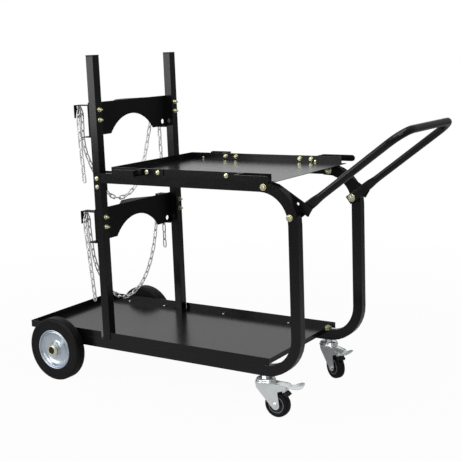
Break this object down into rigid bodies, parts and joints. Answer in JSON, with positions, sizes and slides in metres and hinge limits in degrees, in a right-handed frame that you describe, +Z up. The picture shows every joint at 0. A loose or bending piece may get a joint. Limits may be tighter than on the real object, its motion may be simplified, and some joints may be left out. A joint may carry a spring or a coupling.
{
  "type": "welding cart",
  "caption": "Two-tier welding cart of bent black tube with a chained gas cylinder rack, push handle, large rear wheels and braked swivel casters.",
  "frame": {"origin": "centre of the footprint's bounding box, on the floor", "axes": "+X towards the push handle, +Z up, +Y to the right of someone who stands at the handle and faces the cart"},
  "size_m": [1.3052, 0.5186, 1.013],
  "materials": {
    "black_paint": "satin black powder coat",
    "bright_zinc": "bright zinc plate",
    "yellow_zinc": "yellow zinc plate",
    "tyre_rubber": "matt rubber",
    "black_plastic": "moulded matt"
  },
  "bodies": {
    "cart": {"side_frame_left": "black_paint", "post_left": "black_paint", "post_cap_left": "black_plastic", "rail_plate_left": "black_paint", "rail_bolt_upper_left": "yellow_zinc", "rail_bolt_lower_left": "yellow_zinc", "handle_plate_left": "black_paint", "handle_bolt_upper_left": "yellow_zinc", "handle_bolt_lower_left": "yellow_zinc", "cable_hook_rear_left": "black_paint", "cable_hook_front_left": "black_paint", "chain_hanger_upper_left": "black_paint", "chain_hanger_lower_left": "black_paint", "axle_bracket_left": "black_paint", "axle_nut_left": "black_plastic", "caster_head_left": "bright_zinc", "side_frame_right": "black_paint", "post_right": "black_paint", "post_cap_right": "black_plastic", "rail_plate_right": "black_paint", "rail_bolt_upper_right": "yellow_zinc", "rail_bolt_lower_right": "yellow_zinc", "handle_plate_right": "black_paint", "handle_bolt_upper_right": "yellow_zinc", "handle_bolt_lower_right": "yellow_zinc", "cable_hook_rear_right": "black_paint", "cable_hook_front_right": "black_paint", "chain_hanger_upper_right": "black_paint", "chain_hanger_lower_right": "black_paint", "axle_bracket_right": "black_paint", "axle_nut_right": "black_plastic", "caster_head_right": "bright_zinc", "rear_axle": "bright_zinc", "lower_tray": "black_paint", "upper_tray": "black_paint", "upper_cylinder_bracket": "black_paint", "lower_cylinder_bracket": "black_paint", "upper_chain": "bright_zinc", "lower_chain": "bright_zinc", "handle": "black_paint"},
    "rear_wheel_left": {"rear_tyre_left": "tyre_rubber", "rear_rim_left": "bright_zinc", "rear_hub_left": "yellow_zinc"},
    "caster_swivel_left": {"caster_fork_left": "bright_zinc", "caster_axle_left": "bright_zinc"},
    "caster_wheel_left": {"caster_tyre_left": "tyre_rubber", "caster_hub_left": "black_plastic"},
    "caster_brake_left": {"brake_pedal_left": "bright_zinc", "brake_shoe_left": "black_plastic"},
    "rear_wheel_right": {"rear_tyre_right": "tyre_rubber", "rear_rim_right": "bright_zinc", "rear_hub_right": "yellow_zinc"},
    "caster_swivel_right": {"caster_fork_right": "bright_zinc", "caster_axle_right": "bright_zinc"},
    "caster_wheel_right": {"caster_tyre_right": "tyre_rubber", "caster_hub_right": "black_plastic"},
    "caster_brake_right": {"brake_pedal_right": "bright_zinc", "brake_shoe_right": "black_plastic"}
  },
  "joints": [
    {"name": "rear_wheel_left_spin", "type": "hinge", "parent": "cart", "child": "rear_wheel_left", "pos_m": [-0.51711, -0.229, 0.1], "axis": [0, 1, 0], "continuous": true},
    {"name": "caster_left_swivel", "type": "hinge", "parent": "cart", "child": "caster_swivel_left", "pos_m": [0.23289, -0.1905, 0.099], "axis": [0, 0, 1], "continuous": true},
    {"name": "caster_wheel_left_spin", "type": "hinge", "parent": "caster_swivel_left", "child": "caster_wheel_left", "pos_m": [0.26989, -0.1905, 0.0375], "axis": [0, 1, 0], "continuous": true},
    {"name": "caster_left_brake", "type": "hinge", "parent": "caster_swivel_left", "child": "caster_brake_left", "pos_m": [0.29489, -0.1905, 0.0917], "axis": [0, 1, 0], "range_deg": [0, 8]},
    {"name": "rear_wheel_right_spin", "type": "hinge", "parent": "cart", "child": "rear_wheel_right", "pos_m": [-0.51711, 0.229, 0.1], "axis": [0, 1, 0], "continuous": true},
    {"name": "caster_right_swivel", "type": "hinge", "parent": "cart", "child": "caster_swivel_right", "pos_m": [0.23289, 0.1905, 0.099], "axis": [0, 0, 1], "continuous": true},
    {"name": "caster_wheel_right_spin", "type": "hinge", "parent": "caster_swivel_right", "child": "caster_wheel_right", "pos_m": [0.26494, 0.172, 0.0375], "axis": [0.5, 0.866, 0], "continuous": true},
    {"name": "caster_right_brake", "type": "hinge", "parent": "caster_swivel_right", "child": "caster_brake_right", "pos_m": [0.28659, 0.1595, 0.0917], "axis": [0.5, 0.866, 0], "range_deg": [0, 8]}
  ]
}
